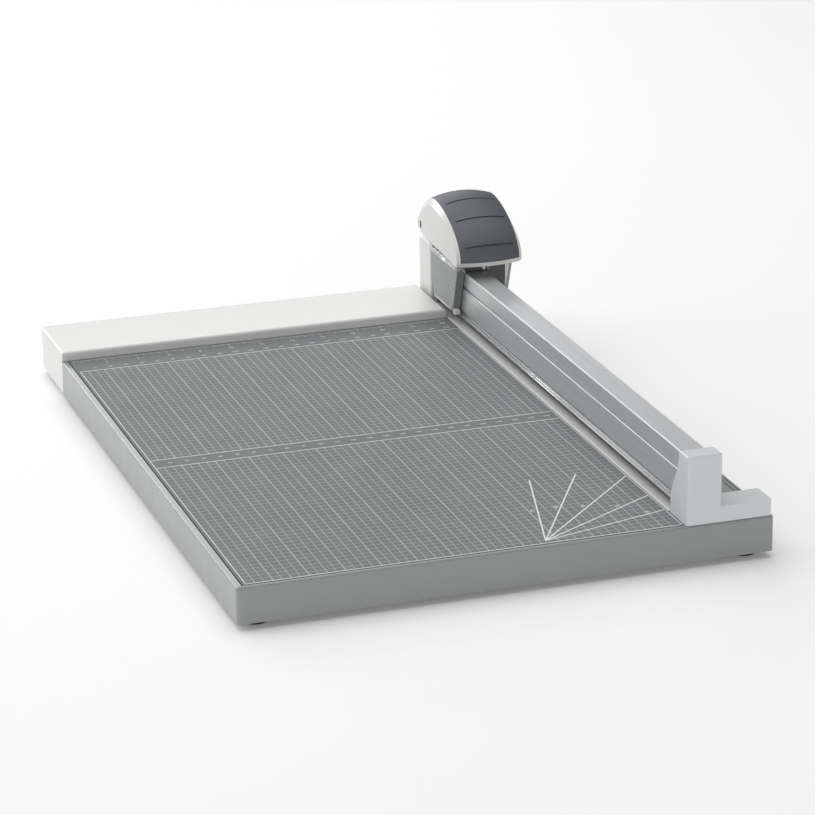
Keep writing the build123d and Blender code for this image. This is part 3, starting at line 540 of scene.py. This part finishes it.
def edge_guard():
    """The guard's lower edge, a white tube that is a painted highlight, and the wire that closes its
    front towards the rail, white as a painted highlight.
    """
    # Painted highlight: the white tube along the guard's bottom edge stands in for the light caught by
    # that edge.
    radius = 0.6 * MM
    sole = bmesh.new()
    ends = [Vector((GUARD_FACE + 0.25 * MM, y, GUARD_LOW[2] + radius))
            for y in (GUARD_LOW[1] + 13.0 * MM, GUARD_HIGH[1] - 9.0 * MM)]
    add_tube(sole, ends, radius, 12)
    finish_piece("guard_edge_painted_highlight", sole, "head", "white_plastic", smooth=True)
    # each point's distance from the guard's face and its height above the rail's top
    route = ((0.3, 2.0), (1.0, 3.3), (1.9, 3.7), (3.2, 3.0), (4.3, 1.6), (5.0, 0.4))
    y = GUARD_LOW[1] - 0.15 * MM
    points = [Vector((GUARD_FACE + x * MM, y, RAIL_HIGH[2] + z * MM)) for x, z in route]
    wire = bmesh.new()
    add_tube(wire, points, 0.4 * MM)
    # A real wire, given white plastic rather than steel so it stays bright in shade: its colour is a
    # painted highlight.
    finish_piece("guard_wire", wire, "head", "white_plastic", smooth=True)


def fit_carriage():
    """Two adjusting screws and a spring's hooked end at the carriage's front, above the rail."""
    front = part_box("carriage")[0][1]
    right, top = RAIL_HIGH[0], RAIL_HIGH[2]
    head = [(0, 0.9 * MM), (1.0 * MM, 0.9 * MM), (1.3 * MM, 0.5 * MM), (1.3 * MM, -0.2 * MM),
            (0, -0.2 * MM)]
    screws = bmesh.new()
    for x, z in ((right + 0.4 * MM, top + 4.3 * MM), (right - 1.8 * MM, top + 1.7 * MM)):
        add_lathe(screws, (x, front, z), (0, -1, 0), head)
    finish_piece("carriage_screws", screws, "carriage", "screw_steel")
    centre = Vector((right + 1.4 * MM, front - 0.4 * MM, top + 1.6 * MM))
    radius = 0.9 * MM
    loop = [centre + Vector((math.cos(a), 0, math.sin(a))) * radius
            for a in (math.radians(30 * k) for k in range(10))]
    hook = bmesh.new()
    add_tube(hook, loop, 0.3 * MM)
    finish_piece("carriage_hook", hook, "carriage", "spring_steel", smooth=True)


def fill_latch():
    """The dark latch at the tail of the left shell, in its recess."""
    shell_face, shell_front, shell_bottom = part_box("left_shell")[0]
    x, y, z = shell_face + 0.3 * MM, shell_front + 75.9 * MM, shell_bottom + 9.1 * MM
    half_y, half_z = 1.5 * MM, 2.2 * MM
    cut_y, cut_z = 0.7 * MM, 0.5 * MM
    outline = []
    for way_y, way_z in ((-1, -1), (1, -1), (1, 1), (-1, 1)):
        upright_end = Vector((x, y + way_y * half_y, z + way_z * (half_z - cut_z)))
        level_end = Vector((x, y + way_y * (half_y - cut_y), z + way_z * half_z))
        outline += [upright_end, level_end] if way_y == way_z else [level_end, upright_end]
    bm = bmesh.new()
    add_prism(bm, outline, Vector((0.68 * MM, 0, 0)))
    finish_piece("shell_latch", bm, "head", "dark_plastic")


def edge_clamp():
    """The clamp strip's two bright burnished edges along the blade's track."""
    low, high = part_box("clamp_strip")
    inset = 7.0 * MM
    bm = bmesh.new()
    for reach, rise in ((0.2 * MM, 0.88 * MM), (1.0 * MM, 1.98 * MM)):
        ends = [Vector((low[0] + reach, y, low[2] + rise)) for y in (low[1] + inset, high[1] - inset)]
        add_tube(bm, ends, 0.28 * MM, 12)
    finish_piece("clamp_edges", bm, "clamp", "blade_steel", smooth=True)


clip_guard()
edge_guard()
edge_clamp()
fit_carriage()
fill_latch()


# ---- floor and light -----------------------------------------------------------------------------
def make_floor():
    """A plain pale floor, just below the feet."""
    bm = bmesh.new()
    bmesh.ops.create_grid(bm, x_segments=1, y_segments=1, size=8.0)
    mesh = bpy.data.meshes.new("floor")
    bm.to_mesh(mesh)
    bm.free()
    floor = bpy.data.objects.new("floor", mesh)
    floor.location = (0, 0, -0.5 * MM)
    bpy.context.scene.collection.objects.link(floor)
    m = Shader("floor", (0.95, 0.95, 0.95), 0.9, Emission_Strength=0.12)
    m.set("Emission Color", (1.0, 1.0, 1.0, 1.0))
    m.tint(m.noise(0.8, 2.0), (0.94, 0.94, 0.94), (0.96, 0.96, 0.96))
    mesh.materials.append(m.material)


def softbox(name, location, size, radiance):
    """A rectangular light that faces the object."""
    data = bpy.data.lights.new(name, "AREA")
    data.shape = "RECTANGLE"
    data.size, data.size_y = size
    data.energy = math.pi * size[0] * size[1] * radiance
    light = bpy.data.objects.new(name, data)
    light.location = location
    light.rotation_euler = (-Vector(location)).to_track_quat("-Z", "Y").to_euler()
    bpy.context.scene.collection.objects.link(light)


make_floor()
world = bpy.data.worlds.new("studio")
bpy.context.scene.world = world
world.use_nodes = True
background = world.node_tree.nodes["Background"]
background.inputs["Color"].default_value = (1.0, 1.0, 1.0, 1.0)
background.inputs["Strength"].default_value = 0.26
softbox("top_light", (-0.3, 0.5, 1.8), (3.0, 3.0), 1.15)
softbox("left_light", (-2.0, 0.3, 0.9), (1.6, 1.4), 0.85)
softbox("edge_light", (-1.1, 2.7, 0.5), (1.4, 0.35), 6.5)
softbox("back_light", (-0.3, 2.6, 1.15), (3.0, 0.6), 2.2)
softbox("front_light", (-0.2, -2.5, 0.6), (2.6, 1.0), 1.3)
